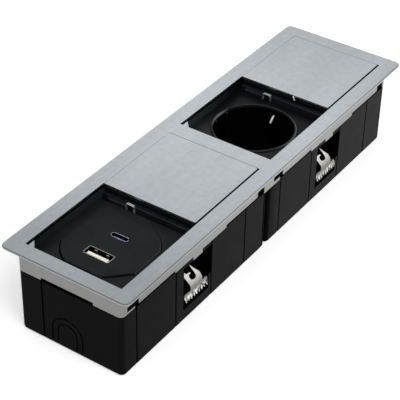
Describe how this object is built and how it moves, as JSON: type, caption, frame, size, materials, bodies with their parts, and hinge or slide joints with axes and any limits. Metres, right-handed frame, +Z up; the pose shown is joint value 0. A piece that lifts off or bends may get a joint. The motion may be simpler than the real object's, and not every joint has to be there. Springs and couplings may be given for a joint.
{
  "type": "in-desk power module with sliding lids",
  "caption": "Flush brushed steel frame over black housings, with a USB charger and an earthed socket, each under its own sliding lid, held in a desk cut-out by spring claws.",
  "frame": {"origin": "middle of the footprint, on the surface that the housings stand on", "axes": "+X across the module towards its right side, +Y along it from the charger end to the socket end, +Z up through the lids"},
  "size_m": [0.0662, 0.2294, 0.045],
  "materials": {
    "brushed_steel": "fine brushed stainless sheet",
    "black_housing": "moulded, lightly textured",
    "black_face": "moulded, satin",
    "bright_steel": "bright rolled",
    "zinc_plated": "zinc plated",
    "nickel_plated": "nickel plated",
    "brass": "plain",
    "cream_nylon": "moulded",
    "blue_nylon": "moulded",
    "white_nylon": "moulded",
    "board_laminate": "lacquered",
    "winding_tape": "film",
    "capacitor_sleeve": "film"
  },
  "bodies": {
    "module": {"top_frame": "brushed_steel", "housing_front": "black_housing", "housing_rear": "black_housing", "deck_front": "black_face", "deck_rear": "black_face", "detent_spring_front": "bright_steel", "detent_spring_rear": "bright_steel", "claw_front_left": "zinc_plated", "claw_front_right": "zinc_plated", "claw_rear_left": "zinc_plated", "claw_rear_right": "zinc_plated", "usb_surround": "black_face", "usb_centre": "black_face", "usb_a_shell": "bright_steel", "usb_a_tongue": "cream_nylon", "usb_c_shell": "bright_steel", "usb_c_tongue": "blue_nylon", "usb_case": "black_housing", "usb_board": "board_laminate", "usb_transformer": "winding_tape", "usb_capacitor": "capacitor_sleeve", "socket_insert": "black_face", "earth_strap": "nickel_plated", "contact_block": "white_nylon", "contact_line": "brass", "contact_neutral": "brass", "terminal_block": "white_nylon", "terminal_screw_line": "zinc_plated", "terminal_screw_earth": "zinc_plated", "terminal_screw_neutral": "zinc_plated", "cord_clamp": "black_housing", "clamp_screw_left": "zinc_plated", "clamp_screw_right": "zinc_plated"},
    "lid_front": {"lid_plate_front": "brushed_steel", "lid_carrier_front": "black_face"},
    "lid_rear": {"lid_plate_rear": "brushed_steel", "lid_carrier_rear": "black_face"}
  },
  "joints": [
    {"name": "lid_slide_front", "type": "slide", "parent": "module", "child": "lid_front", "axis": [0, -1, 0], "range_m": [0, 0.0488]},
    {"name": "lid_slide_rear", "type": "slide", "parent": "module", "child": "lid_rear", "axis": [0, -1, 0], "range_m": [0, 0.0488]}
  ]
}
